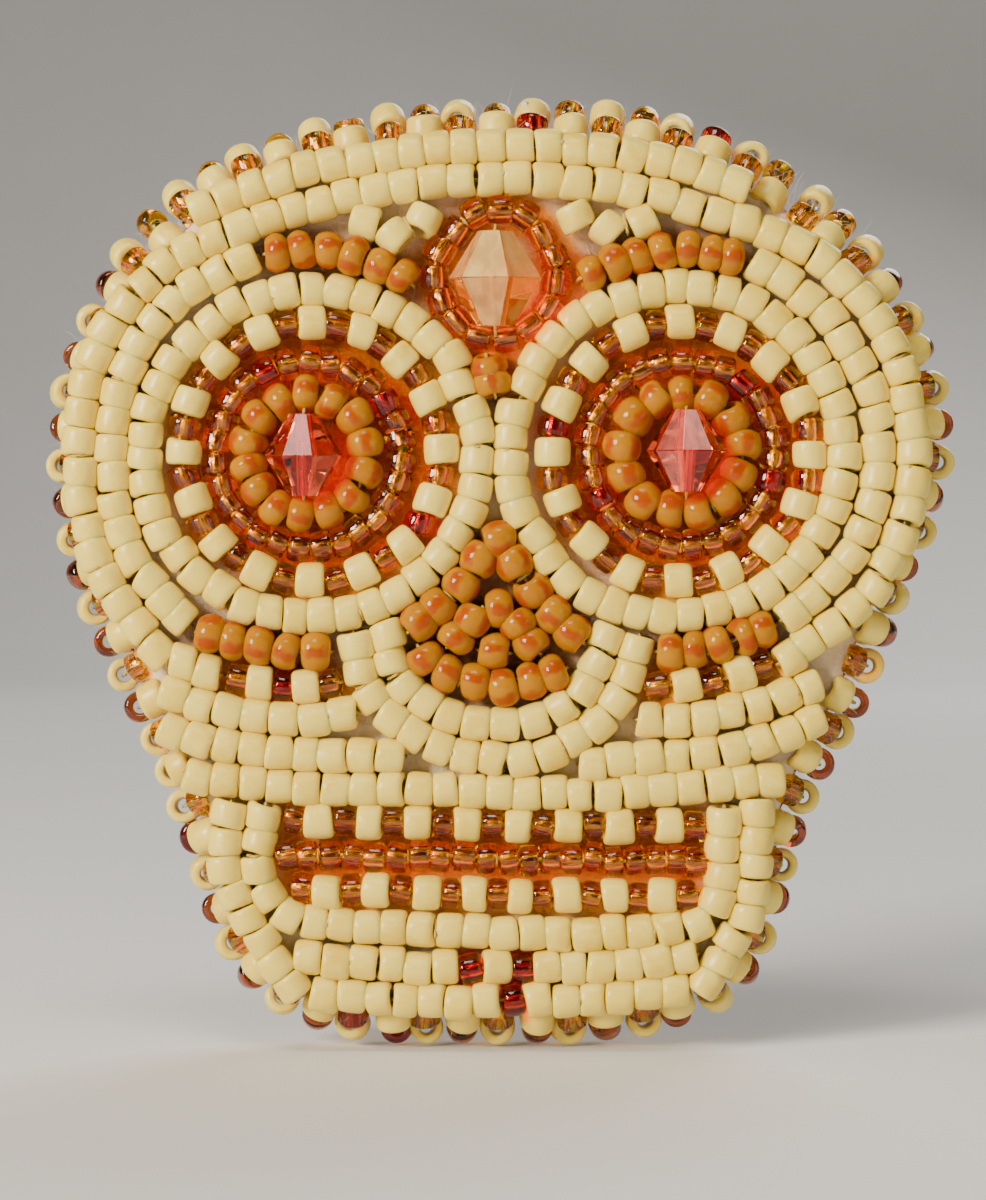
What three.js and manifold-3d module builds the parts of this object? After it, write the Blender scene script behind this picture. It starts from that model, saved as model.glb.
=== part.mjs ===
// A bead-embroidered sugar-skull brooch: strands of seed beads and three bicone crystals couched on
// felt, a stiffener and a leather back, a whip-stitched bead edging, and a sewn-on safety pin back.
// Millimetres, worn upright: the face looks along -Y, +Z is towards the crown, +X is the viewer's
// right, and the origin is the middle of the leather's back face.
import * as THREE from "three";
import { mergeVertices } from "three/addons/utils/BufferGeometryUtils.js";
import Module from "manifold-3d";

const wasm = await Module();
wasm.setup();

// ---- layers, counted from the leather's back face towards the viewer ----
const LAYER_GAP = 0.05;
const LEATHER_THICKNESS = 0.9;
const STIFFENER_THICKNESS = 0.5;
const FELT_THICKNESS = 1.1;
const STIFFENER_BACK = LEATHER_THICKNESS + LAYER_GAP;
const FELT_BACK = STIFFENER_BACK + STIFFENER_THICKNESS + LAYER_GAP;
const FELT_FRONT = FELT_BACK + FELT_THICKNESS;

// ---- beads: radius of each strand over its beads ----
const CREAM_RADIUS = 0.77;
const AMBER_RADIUS = 0.72;
const YELLOW_RADIUS = 0.85;
const NESTED_RADIUS = 0.7;
const STRAND_SIDES = 6;
const STRAND_STEP = 2.2;
const STRAND_GAP = 0.03;

// ---- edging: a row on the shoulder of the felt, one round the rim and one on the leather ----
const SHOULDER_RADIUS = 0.62;
const SHOULDER_DEPTH = 2.2;
const RIM_RADIUS = 0.85;
const RIM_DEPTH = 0.85;
const RIM_REACH = 0.5;
const EDGING_STEPS = 78;
const LEATHER_INSET = 0.4;
const FELT_INSET = 0.62;
const STIFFENER_INSET = 1.5;
const FAN_SHARE = 0.16;

// ---- crystals ----
const CRYSTAL_SIDES = 8;
const CRYSTAL_HOLE = 0.4;
const EYE_CRYSTAL = { radius: 2, height: 4.1, end: 0.85 };
const FOREHEAD_CRYSTAL = { radius: 2.4, height: 4.7, end: 1.05 };

// ---- pin back, a 32 mm stamped bar with a riveted stem and a turning safety catch ----
const BAR_HEIGHT_ON_BACK = 7.5;
const BAR_LENGTH = 32;
const BAR_WIDTH = 4.6;
const BAR_THICKNESS = 0.8;
const BAR_HOLE_RADIUS = 0.75;
const BAR_HOLE_PLACES = [-8.5, 0, 8.5];
const PIN_AXIS_LIFT = LAYER_GAP + BAR_THICKNESS + 2.1;
const HINGE_X = -13.6;
const EAR_THICKNESS = 0.7;
const EAR_RADIUS = 1.35;
const EAR_INNER_GAP = 1.9;
const RIVET_RADIUS = 0.5;
const RIVET_HEAD_RADIUS = 0.85;
const RIVET_HEAD_THICKNESS = 0.4;
const RUNNING_CLEARANCE = 0.06;
const STEM_RADIUS = 0.42;
const STEM_EYE_RADIUS = 1.25;
const STEM_EYE_WIDTH = 1.5;
const STEM_LENGTH = 28.6;
const STEM_POINT_LENGTH = 4;
const STEM_SIDES = 10;
const CATCH_X = 13.2;
const HOOK_LENGTH = 1.6;
const HOOK_INNER_RADIUS = 1.42;
const HOOK_OUTER_RADIUS = 1.95;
const HOOK_NECK_WIDTH = 1.6;
const SLEEVE_LENGTH = 3.2;
const SLEEVE_BORE = 0.78;
const SLEEVE_RADIUS = 1.33;
const SLEEVE_FLANGE_RADIUS = 1.75;
const SLEEVE_FLANGE_THICKNESS = 0.6;
const SLOT_WIDTH = 1.2;
const TAB_REACH = 3.1;
const TAB_WIDTH = 1.3;
const TAB_ANGLE = -50;
const ROUND_SIDES = 24;
const STITCH_RADIUS = 0.18;
const STITCH_CLEARANCE = 0.1;
const STITCH_STEPS = 30;
const STITCH_SIDES = 12;

// ---- the middle line of the front edging row, clockwise from the crown: [x, z] ----
const EDGE_LINE = [
  [-0.2, 22.4], [5.3, 22.3], [10.9, 21], [14.9, 18.7], [18.5, 15.3], [20.8, 11.3], [21.7, 6.6],
  [21, 3], [19.1, -1.9], [17.7, -5.9], [15.5, -9.9], [14.1, -13.4], [13.1, -17.4], [11.4, -20.5],
  [8.2, -22], [3, -22.6], [-2.4, -22.6], [-7.7, -22.4], [-11.6, -20.8], [-13.7, -17.7],
  [-15.1, -13.4], [-16.5, -9.6], [-18.7, -5.2], [-20.7, -0.4], [-21.7, 4], [-21.4, 9.8],
  [-19, 14.9], [-15.6, 18.6], [-10.5, 21.1], [-5.5, 22.1],
];

// ---- couched strands of beads: name, kind of bead, middle line as [x, z] points ----
const CREAM = { color: 0xeee4b6, radius: CREAM_RADIUS };
const AMBER = { color: 0xc4560f, radius: AMBER_RADIUS };
const YELLOW = { color: 0xf5a011, radius: YELLOW_RADIUS };
const NESTED = { color: 0xf5a011, radius: NESTED_RADIUS };

const STRANDS = [
  ["crown_row", CREAM, [
    [-14.9, 18], [-10.7, 19.8], [-5.6, 20.85], [0, 21.2], [5.2, 21.05], [9.3, 20.2], [11.7, 19.3],
  ]],
  ["face_outline_row", CREAM, [
    [-14.6, -4.9], [-17, -3.9], [-18.7, -1.9], [-20.2, 0.4], [-21, 4.7], [-20.6, 9.3], [-18.9, 13],
    [-15.8, 16.1], [-11, 17.9], [-5.6, 19.2], [0.2, 19.7], [5.7, 19.2], [9.8, 18.1], [14.2, 16.6],
    [17.6, 14.1], [19.8, 10.3], [20.6, 5.8], [19.8, 1.7], [17.6, -1.8], [14.1, -4.3],
  ]],
  ["temple_row_left", CREAM, [
    [-12.9, 15.6], [-16.6, 13.4], [-18.9, 10], [-19.6, 5.4], [-18.5, 0.9], [-15.8, -2.3],
  ]],
  ["temple_row_right", CREAM, [
    [12.9, 15.4], [16.4, 12.7], [18.4, 9], [18.8, 5], [17.3, 0.7], [14.3, -2.2],
  ]],
  ["brow_row_left", YELLOW, [[-11.25, 15.85], [-8.3, 16.15], [-4.9, 14.7]]],
  ["brow_row_right", YELLOW, [[4.5, 14.75], [7.6, 16.1], [11.6, 15.65]]],
  ["bridge_row", NESTED, [[-0.6, 10.4], [-0.35, 9.2]]],
  ["forehead_fill_left", CREAM, [[-6.9, 17.45], [-5.2, 16.8], [-3.9, 17.6]]],
  ["forehead_fill_right", CREAM, [[3.7, 17.8], [4.9, 17], [7, 17.5]]],
  ["nose_outer_row", NESTED, [[-4.3, -2.75], [-1.9, -0.45], [0, 1.9], [1.6, -0.9], [3.7, -3.1]]],
  ["nose_inner_row", NESTED, [[-2.5, -3.4], [-1.15, -2.3], [-0.1, -1.25], [0.7, -2.65], [1.6, -3.7]]],
  ["nose_centre_bead", NESTED, [[-1, -3.9], [0.3, -4.1]]],
  ["nose_base_row", NESTED, [[-3.8, -4.1], [-2.55, -5.05], [0.1, -5.7], [2.7, -5]]],
  ["nose_frame_inner", CREAM, [
    [-5.8, -3.1], [-4.9, -5.6], [-2.6, -7.1], [0.3, -7.6], [3, -6.8], [4.5, -4.7], [5.2, -3.3],
  ]],
  ["nose_frame_outer", CREAM, [
    [-7.2, -3.6], [-6.7, -5.8], [-5.1, -7.7], [-2.6, -8.9], [0.6, -9.35], [3.6, -8.5],
    [5.7, -6.4], [6.7, -3.8],
  ]],
  ["cheek_row_left", YELLOW, [[-14.8, -2.95], [-12, -3.6], [-9.3, -3.9]]],
  ["cheek_row_right", YELLOW, [[8.3, -3.9], [10.7, -3.7], [13.2, -2.7]]],
  ["cheek_dotted_left", AMBER, [[-13.3, -5.3], [-10.8, -5.7], [-8.6, -5.5]]],
  ["cheek_dotted_right", AMBER, [[7.8, -5.6], [10.2, -5.4], [13.1, -4.5]]],
  ["upper_jaw_row_left", CREAM, [[-16.4, -6.2], [-13.6, -7.05], [-10.8, -7.4], [-7.9, -7.1]]],
  ["upper_jaw_row_right", CREAM, [[7.4, -7.4], [10, -7.35], [12.7, -6.7], [15.3, -5.7]]],
  ["middle_jaw_row_left", CREAM, [[-16.4, -7.9], [-13.7, -8.7], [-10.9, -9.05], [-5.6, -9.25]]],
  ["middle_jaw_row_right", CREAM, [[4.5, -9.55], [8.4, -9.2], [12.6, -8.6], [15.4, -7.4]]],
  ["lip_row", CREAM, [
    [-15.2, -10.2], [-10.8, -10.75], [-4.2, -10.85], [1.9, -11.1], [6.6, -11], [13.4, -10.3],
  ]],
  ["teeth_row_upper", AMBER, [[-10.4, -12.35], [-0.5, -12.6], [9.6, -12.75]]],
  ["mouth_row", AMBER, [[-10.8, -14.1], [-0.6, -14.3], [9.8, -14.4]]],
  ["teeth_row_lower", AMBER, [[-10, -15.8], [-0.3, -16.1], [9.3, -16.25]]],
  ["jaw_frame_inner", CREAM, [
    [-11.9, -12.2], [-12.2, -14.6], [-11.2, -16.9], [-8.6, -17.55], [-2.5, -17.9], [4, -18.05],
    [8.6, -17.8], [10.7, -16.8], [11.05, -14.6], [11, -12.4],
  ]],
  ["jaw_frame_left", CREAM, [[-13.6, -12.1], [-13.7, -14.8], [-12.5, -17.6], [-10.4, -20.6]]],
  ["jaw_frame_right", CREAM, [[12.7, -12], [12.6, -14.7], [11.9, -17.8], [10.1, -20.5]]],
  ["chin_row_upper", CREAM, [[-9.7, -19.3], [-6.3, -19.65], [0, -19.8], [6.7, -19.6], [9.1, -19.1]]],
  ["chin_row_lower", CREAM, [[-8.9, -21.05], [-4.9, -21.35], [1, -21.4], [8.7, -20.85]]],
];

// ---- closed rings of beads around the crystals: centre [x, z], then half width and half height ----
const RINGS = [
  ["socket_ring_left", CREAM, [-9.5, 5.9], 8.4, 8.2],
  ["socket_ring_right", CREAM, [8.65, 6], 8.35, 8.25],
  ["lash_ring_left", AMBER, [-9.5, 6], 6.45, 6.45],
  ["lash_ring_right", AMBER, [8.9, 6], 6.45, 6.45],
  ["iris_ring_left", AMBER, [-9.65, 5.9], 4.6, 4.6],
  ["iris_ring_right", AMBER, [9, 5.9], 4.6, 4.6],
  ["pupil_ring_left", YELLOW, [-9.8, 5.8], 3, 3],
  ["pupil_ring_right", YELLOW, [9, 5.95], 3.05, 3.05],
];
const FOREHEAD_RING = [
  [-0.1, 18.1], [1.4, 17.7], [2.15, 16.4], [2.8, 14.8], [2.35, 13.4], [0.5, 11.8],
  [-1.1, 11.8], [-2.9, 13.4], [-3.4, 15.2], [-2.4, 16.9], [-1.6, 17.8],
];

const EYE_LEFT = [-9.85, 5.8];
const EYE_RIGHT = [9.15, 6];
const FOREHEAD = [-0.35, 14.5];

function finish(color, roughness, metalness) {
  return new THREE.MeshStandardMaterial({ color, roughness, metalness });
}

const brooch = new THREE.Group();
brooch.name = "brooch";

function addPiece(name, geometry, material) {
  const mesh = new THREE.Mesh(geometry, material);
  mesh.name = name;
  brooch.add(mesh);
  return mesh;
}

// ---- curves ----
function lineThrough(points, closed) {
  const places = points.map(([x, z]) => new THREE.Vector3(x, 0, z));
  return new THREE.CatmullRomCurve3(places, closed, "centripetal");
}

// A closed line's points moved outwards (towards the left of its clockwise run) by a distance.
function offsetLoop(curve, steps, distance) {
  const loop = [];
  for (let i = 0; i < steps; i++) {
    const place = curve.getPointAt(i / steps);
    const along = curve.getTangentAt(i / steps);
    loop.push([place.x - along.z * distance, place.z + along.x * distance]);
  }
  return loop;
}

// ---- solids ----
function closedGeometry(positions, triangles) {
  const geometry = new THREE.BufferGeometry();
  geometry.setAttribute("position", new THREE.Float32BufferAttribute(positions, 3));
  geometry.setIndex(triangles);
  geometry.computeVertexNormals();
  return geometry;
}

// A strand of beads between its two ends: a hexagon, one corner to the front, swept along the line.
function strandGeometry(curve, radius) {
  const section = new THREE.Shape();
  for (let i = 0; i < STRAND_SIDES; i++) {
    const turn = (2 * Math.PI * i) / STRAND_SIDES;
    const x = radius * Math.cos(turn);
    const y = radius * Math.sin(turn);
    if (i === 0) section.moveTo(x, y);
    else section.lineTo(x, y);
  }
  const steps = Math.max(2, Math.ceil(curve.getLength() / STRAND_STEP));
  return new THREE.ExtrudeGeometry(section, { steps, extrudePath: curve, curveSegments: 1 });
}

// A closed strand: the same hexagon around a loop of [x, z] places.
function loopGeometry(loop, radius) {
  const positions = [];
  const triangles = [];
  const count = loop.length;
  for (let i = 0; i < count; i++) {
    const [beforeX, beforeZ] = loop[(i + count - 1) % count];
    const [x, z] = loop[i];
    const [afterX, afterZ] = loop[(i + 1) % count];
    const out = new THREE.Vector2(-(afterZ - beforeZ), afterX - beforeX).normalize();
    for (let j = 0; j < STRAND_SIDES; j++) {
      const turn = (2 * Math.PI * j) / STRAND_SIDES;
      const side = radius * Math.sin(turn);
      positions.push(x + out.x * side, -radius * Math.cos(turn), z + out.y * side);
      const a = i * STRAND_SIDES + j;
      const b = i * STRAND_SIDES + ((j + 1) % STRAND_SIDES);
      const c = ((i + 1) % count) * STRAND_SIDES + j;
      const d = ((i + 1) % count) * STRAND_SIDES + ((j + 1) % STRAND_SIDES);
      triangles.push(a, c, b, b, c, d);
    }
  }
  return closedGeometry(positions, triangles);
}

function ringLoop([x, z], halfWidth, halfHeight) {
  const steps = Math.ceil((2 * Math.PI * halfWidth) / STRAND_STEP / 2) * 2 + 2;
  const loop = [];
  for (let i = 0; i < steps; i++) {
    const turn = (2 * Math.PI * i) / steps;
    loop.push([x + halfWidth * Math.sin(turn), z + halfHeight * Math.cos(turn)]);
  }
  return loop;
}

// A flat slab with the brooch's outline. Each face is a fan around the middle inside a ring of
// quads, so the middle of the face is small triangles clear of everything sewn near the rim.
function slabGeometry(loop, back, front) {
  const positions = [];
  const triangles = [];
  const count = loop.length;
  for (const depth of [back, front]) {
    positions.push(0, -depth, 0);
    for (const share of [FAN_SHARE, 1]) {
      for (const [x, z] of loop) positions.push(x * share, -depth, z * share);
    }
  }
  const half = 1 + 2 * count;
  for (let i = 0; i < count; i++) {
    const next = (i + 1) % count;
    const inner = 1 + i;
    const innerNext = 1 + next;
    const outer = inner + count;
    const outerNext = innerNext + count;
    triangles.push(0, inner, innerNext);
    triangles.push(inner, outer, outerNext, inner, outerNext, innerNext);
    triangles.push(half, half + innerNext, half + inner);
    triangles.push(half + inner, half + outerNext, half + outer);
    triangles.push(half + inner, half + innerNext, half + outerNext);
    triangles.push(outer, half + outer, half + outerNext, outer, half + outerNext, outerNext);
  }
  return closedGeometry(positions, triangles);
}

// A bicone crystal with its thread hole along Z and one facet, not an edge, to the front.
function crystalGeometry({ radius, height, end }) {
  const profile = [
    new THREE.Vector2(CRYSTAL_HOLE, -height / 2),
    new THREE.Vector2(end, -height / 2),
    new THREE.Vector2(radius, 0),
    new THREE.Vector2(end, height / 2),
    new THREE.Vector2(CRYSTAL_HOLE, height / 2),
    new THREE.Vector2(CRYSTAL_HOLE, -height / 2),
  ];
  const halfFacet = Math.PI / CRYSTAL_SIDES;
  return new THREE.LatheGeometry(profile, CRYSTAL_SIDES, halfFacet).rotateX(Math.PI / 2);
}

// ---- joining and cutting ----
function toSolid(geometry) {
  const bare = geometry.clone();
  bare.deleteAttribute("normal");
  bare.deleteAttribute("uv");
  const merged = mergeVertices(bare, 1e-4);
  const triVerts = new Uint32Array(merged.index.array);
  const vertProperties = merged.attributes.position.array;
  return new wasm.Manifold(new wasm.Mesh({ numProp: 3, vertProperties, triVerts }));
}

function toGeometry(solid) {
  const { vertProperties, triVerts } = solid.getMesh();
  return closedGeometry(Array.from(vertProperties), Array.from(triVerts));
}

function cylinderSolid(radius, length, sides) {
  return toSolid(new THREE.CylinderGeometry(radius, radius, length, sides));
}

function boxSolid(width, depth, height, x, y, z) {
  return toSolid(new THREE.BoxGeometry(width, depth, height).translate(x, y, z));
}

// ---- layers ----
const edgeCurve = lineThrough(EDGE_LINE, true);

function addLayer(name, inset, back, thickness, material) {
  const outline = offsetLoop(edgeCurve, EDGING_STEPS / 2, -inset);
  addPiece(name, slabGeometry(outline, back, back + thickness), material);
}

addLayer("leather_backing", LEATHER_INSET, 0, LEATHER_THICKNESS, finish(0x6b4a32, 0.7, 0));
addLayer("stiffener", STIFFENER_INSET, STIFFENER_BACK, STIFFENER_THICKNESS, finish(0xe8e6df, 0.6, 0));
addLayer("foundation_felt", FELT_INSET, FELT_BACK, FELT_THICKNESS, finish(0xe9dcc0, 0.95, 0));

// ---- bead strands, laid on the felt ----
function laidOnFelt(name, geometry, look) {
  const mesh = addPiece(name, geometry, finish(look.color, 0.35, 0));
  mesh.position.y = -(FELT_FRONT + STRAND_GAP + look.radius);
}

for (const [name, look, points] of STRANDS) {
  laidOnFelt(name, strandGeometry(lineThrough(points, false), look.radius), look);
}
for (const [name, look, centre, halfWidth, halfHeight] of RINGS) {
  laidOnFelt(name, loopGeometry(ringLoop(centre, halfWidth, halfHeight), look.radius), look);
}
const foreheadCurve = lineThrough(FOREHEAD_RING, true);
laidOnFelt("forehead_ring", loopGeometry(offsetLoop(foreheadCurve, 16, 0), AMBER_RADIUS), AMBER);

// ---- edging ----
function addEdging(name, reach, radius, depth) {
  const loop = offsetLoop(edgeCurve, EDGING_STEPS, reach);
  addPiece(name, loopGeometry(loop, radius), finish(0xd9a763, 0.35, 0)).position.y = -depth;
}

addEdging("edging_front", 0, SHOULDER_RADIUS, SHOULDER_DEPTH);
addEdging("edging_rim", RIM_REACH, RIM_RADIUS, RIM_DEPTH);
addEdging("edging_back", 0, SHOULDER_RADIUS, -(STRAND_GAP + SHOULDER_RADIUS));

// ---- crystals ----
function addCrystal(name, size, [x, z], color) {
  const mesh = addPiece(name, crystalGeometry(size), finish(color, 0.05, 0));
  mesh.position.set(x, -(FELT_FRONT + STRAND_GAP + size.radius), z);
}

addCrystal("eye_crystal_left", EYE_CRYSTAL, EYE_LEFT, 0xe8665a);
addCrystal("eye_crystal_right", EYE_CRYSTAL, EYE_RIGHT, 0xe8665a);
addCrystal("forehead_crystal", FOREHEAD_CRYSTAL, FOREHEAD, 0xf0c8b0);

// ---- pin back, in its own group: x along the bar, y away from the leather, z across the bar ----
const pinBack = new THREE.Group();
pinBack.position.z = BAR_HEIGHT_ON_BACK;
brooch.add(pinBack);
const steel = finish(0xc9c9cc, 0.25, 1);

function addPinPiece(name, geometry, material) {
  const mesh = new THREE.Mesh(geometry, material);
  mesh.name = name;
  pinBack.add(mesh);
}

function barPlate() {
  const end = BAR_WIDTH / 2;
  const straight = BAR_LENGTH / 2 - end;
  const outline = new THREE.Shape();
  outline.absarc(straight, 0, end, -Math.PI / 2, Math.PI / 2, false);
  outline.absarc(-straight, 0, end, Math.PI / 2, (3 * Math.PI) / 2, false);
  for (const x of BAR_HOLE_PLACES) {
    outline.holes.push(new THREE.Path().absarc(x, 0, BAR_HOLE_RADIUS, 0, 2 * Math.PI, true));
  }
  const plate = new THREE.ExtrudeGeometry(outline, {
    depth: BAR_THICKNESS,
    bevelEnabled: false,
    curveSegments: 6,
  });
  return toSolid(plate.rotateX(-Math.PI / 2).translate(0, LAYER_GAP, 0));
}

// One ear of the hinge: a round-topped plate standing on the bar, drilled for the rivet.
function hingeEar(side) {
  const middle = side * (EAR_INNER_GAP / 2 + EAR_THICKNESS / 2);
  const foot = LAYER_GAP + BAR_THICKNESS / 2;
  const rise = PIN_AXIS_LIFT - foot;
  const disc = cylinderSolid(EAR_RADIUS, EAR_THICKNESS, ROUND_SIDES)
    .rotate([90, 0, 0])
    .translate([HINGE_X, PIN_AXIS_LIFT, middle]);
  const stand = boxSolid(2 * EAR_RADIUS, rise, EAR_THICKNESS, HINGE_X, foot + rise / 2, middle);
  return disc.add(stand);
}

function rivetBore() {
  const length = 2 * (EAR_INNER_GAP + EAR_THICKNESS);
  return cylinderSolid(RIVET_RADIUS + RUNNING_CLEARANCE, length, ROUND_SIDES)
    .rotate([90, 0, 0])
    .translate([HINGE_X, PIN_AXIS_LIFT, 0]);
}

// A tube along X around the catch's middle line.
function catchTube(outer, inner, length) {
  const tube = cylinderSolid(outer, length, ROUND_SIDES);
  const bore = cylinderSolid(inner, 2 * length, ROUND_SIDES);
  return tube.subtract(bore).rotate([0, 0, 90]).translate([CATCH_X, PIN_AXIS_LIFT, 0]);
}

// The opening that lets the stem swing out, away from the leather.
function catchSlot(length) {
  const depth = 2 * HOOK_OUTER_RADIUS;
  return boxSolid(length, depth, SLOT_WIDTH, CATCH_X, PIN_AXIS_LIFT + depth / 2, 0);
}

function catchHook() {
  const tube = catchTube(HOOK_OUTER_RADIUS, HOOK_INNER_RADIUS, HOOK_LENGTH);
  const foot = LAYER_GAP + BAR_THICKNESS / 2;
  const top = PIN_AXIS_LIFT - (HOOK_INNER_RADIUS + HOOK_OUTER_RADIUS) / 2;
  const neck = boxSolid(HOOK_LENGTH, top - foot, HOOK_NECK_WIDTH, CATCH_X, (foot + top) / 2, 0);
  return tube.subtract(catchSlot(2 * HOOK_LENGTH)).add(neck);
}

function catchSleeve() {
  const flangePlace = SLEEVE_LENGTH / 2 - SLEEVE_FLANGE_THICKNESS / 2;
  let sleeve = catchTube(SLEEVE_RADIUS, SLEEVE_BORE, SLEEVE_LENGTH);
  for (const side of [-1, 1]) {
    const flange = catchTube(SLEEVE_FLANGE_RADIUS, SLEEVE_BORE, SLEEVE_FLANGE_THICKNESS);
    sleeve = sleeve.add(flange.translate([side * flangePlace, 0, 0]));
  }
  const reach = TAB_REACH - SLEEVE_RADIUS;
  const tab = boxSolid(SLEEVE_FLANGE_THICKNESS, reach, TAB_WIDTH, 0, SLEEVE_RADIUS + reach / 2, 0)
    .rotate([TAB_ANGLE, 0, 0])
    .translate([CATCH_X + flangePlace, PIN_AXIS_LIFT, 0]);
  return sleeve.subtract(catchSlot(2 * SLEEVE_LENGTH)).add(tab);
}

// The stem: an eye around the rivet and a wire that ends in a sharpened point inside the catch.
function pinStem() {
  const eye = cylinderSolid(STEM_EYE_RADIUS, STEM_EYE_WIDTH, ROUND_SIDES);
  const bore = cylinderSolid(RIVET_RADIUS + RUNNING_CLEARANCE, 2 * STEM_EYE_WIDTH, ROUND_SIDES);
  const ring = eye.subtract(bore).rotate([90, 0, 0]);
  const start = (RIVET_RADIUS + RUNNING_CLEARANCE + STEM_EYE_RADIUS) / 2;
  const taper = STEM_LENGTH - STEM_POINT_LENGTH;
  const profile = [
    new THREE.Vector2(0, start),
    new THREE.Vector2(STEM_RADIUS, start),
    new THREE.Vector2(STEM_RADIUS, taper),
    new THREE.Vector2(STEM_RADIUS * 0.6, taper + STEM_POINT_LENGTH * 0.65),
    new THREE.Vector2(0, STEM_LENGTH),
  ];
  const wire = toSolid(new THREE.LatheGeometry(profile, STEM_SIDES).rotateZ(-Math.PI / 2));
  return ring.add(wire).translate([HINGE_X, PIN_AXIS_LIFT, 0]);
}

function hingeRivet() {
  const shankLength = EAR_INNER_GAP + 2 * EAR_THICKNESS + 2 * RUNNING_CLEARANCE;
  let rivet = cylinderSolid(RIVET_RADIUS, shankLength + RIVET_HEAD_THICKNESS, ROUND_SIDES);
  for (const side of [-1, 1]) {
    const place = side * (shankLength / 2 + RIVET_HEAD_THICKNESS / 2);
    const head = cylinderSolid(RIVET_HEAD_RADIUS, RIVET_HEAD_THICKNESS, ROUND_SIDES);
    rivet = rivet.add(head.translate([0, place, 0]));
  }
  return rivet.rotate([90, 0, 0]).translate([HINGE_X, PIN_AXIS_LIFT, 0]);
}

// A stitch of doubled thread: out of the leather below the bar, down into a hole and up again, and
// back into the leather above the bar.
function stitchGeometry(x) {
  const low = LAYER_GAP;
  const high = LAYER_GAP + BAR_THICKNESS + STITCH_RADIUS + STITCH_CLEARANCE;
  const outer = BAR_WIDTH / 2 + STITCH_RADIUS + STITCH_CLEARANCE;
  const inner = BAR_HOLE_RADIUS - STITCH_RADIUS - STITCH_CLEARANCE;
  const half = [
    [low, outer],
    [high * 0.6, outer],
    [high, outer - STITCH_RADIUS],
    [high, BAR_HOLE_RADIUS],
    [high * 0.8, inner],
    [low + 2 * STITCH_RADIUS, inner],
  ];
  const below = half.map(([y, z]) => new THREE.Vector3(x, y, -z));
  const bottom = new THREE.Vector3(x, low + STITCH_RADIUS + STITCH_CLEARANCE / 2, 0);
  const above = half.map(([y, z]) => new THREE.Vector3(x, y, z)).reverse();
  const route = new THREE.CatmullRomCurve3([...below, bottom, ...above], false, "centripetal");
  const section = new THREE.Shape().absarc(0, 0, STITCH_RADIUS, 0, 2 * Math.PI, false);
  return new THREE.ExtrudeGeometry(section, {
    steps: STITCH_STEPS,
    extrudePath: route,
    curveSegments: STITCH_SIDES / 2,
  });
}

const bar = barPlate().add(hingeEar(-1)).add(hingeEar(1)).subtract(rivetBore()).add(catchHook());
addPinPiece("pin_bar", toGeometry(bar), steel);
addPinPiece("hinge_rivet", toGeometry(hingeRivet()), steel);
addPinPiece("pin_stem", toGeometry(pinStem()), steel);
addPinPiece("catch_sleeve", toGeometry(catchSleeve()), steel);
BAR_HOLE_PLACES.forEach((x, i) => {
  addPinPiece(`bar_stitch_${i + 1}`, stitchGeometry(x), finish(0xe9e2cf, 0.8, 0));
});

export default brooch;
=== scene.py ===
import math

import bmesh
import bpy
import numpy as np
from mathutils import Matrix, Vector


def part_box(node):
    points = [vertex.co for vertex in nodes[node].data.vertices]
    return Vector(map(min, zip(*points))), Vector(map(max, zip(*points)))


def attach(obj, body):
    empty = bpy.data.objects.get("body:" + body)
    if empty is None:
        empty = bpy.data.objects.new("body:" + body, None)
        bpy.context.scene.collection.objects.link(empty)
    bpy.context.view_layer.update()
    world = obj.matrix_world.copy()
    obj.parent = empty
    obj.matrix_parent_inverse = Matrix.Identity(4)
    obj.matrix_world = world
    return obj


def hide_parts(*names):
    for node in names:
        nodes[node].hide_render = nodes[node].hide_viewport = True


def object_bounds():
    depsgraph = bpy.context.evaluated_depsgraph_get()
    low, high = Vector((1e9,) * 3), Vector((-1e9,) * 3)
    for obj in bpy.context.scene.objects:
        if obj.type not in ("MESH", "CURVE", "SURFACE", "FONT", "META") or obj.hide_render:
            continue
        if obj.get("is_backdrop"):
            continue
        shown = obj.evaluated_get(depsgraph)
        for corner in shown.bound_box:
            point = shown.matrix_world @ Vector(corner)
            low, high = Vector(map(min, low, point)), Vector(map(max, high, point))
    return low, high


# The brooch is modelled in millimetres in the row frame (x right, y away from the viewer, z up)
# and written in metres.
MM = 0.001

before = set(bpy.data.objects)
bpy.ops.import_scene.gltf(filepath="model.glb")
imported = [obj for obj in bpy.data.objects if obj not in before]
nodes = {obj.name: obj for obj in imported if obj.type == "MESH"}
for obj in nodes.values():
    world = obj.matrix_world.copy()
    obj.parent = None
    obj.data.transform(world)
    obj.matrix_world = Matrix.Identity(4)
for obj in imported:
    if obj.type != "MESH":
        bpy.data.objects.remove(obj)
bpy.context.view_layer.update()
rng = np.random.default_rng(41)

# ---- beads: size in mm, across the hole and along it ----
KINDS = {
    "c": {"name": "cream", "radius": 0.90, "length": 1.33, "hole": 0.36, "fill": 0.985},
    "a": {"name": "amber", "radius": 0.79, "length": 1.09, "hole": 0.31, "fill": 0.93},
    "r": {"name": "red", "radius": 0.80, "length": 1.12, "hole": 0.31, "fill": 0.93},
    "y": {"name": "yellow", "radius": 1.0, "length": 1.44, "hole": 0.36, "fill": 0.99},
    "b": {"name": "brown", "radius": 0.80, "length": 1.12, "hole": 0.34, "fill": 0.93},
    "w": {"name": "wine", "radius": 0.84, "length": 1.15, "hole": 0.34, "fill": 0.93},
}
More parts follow.
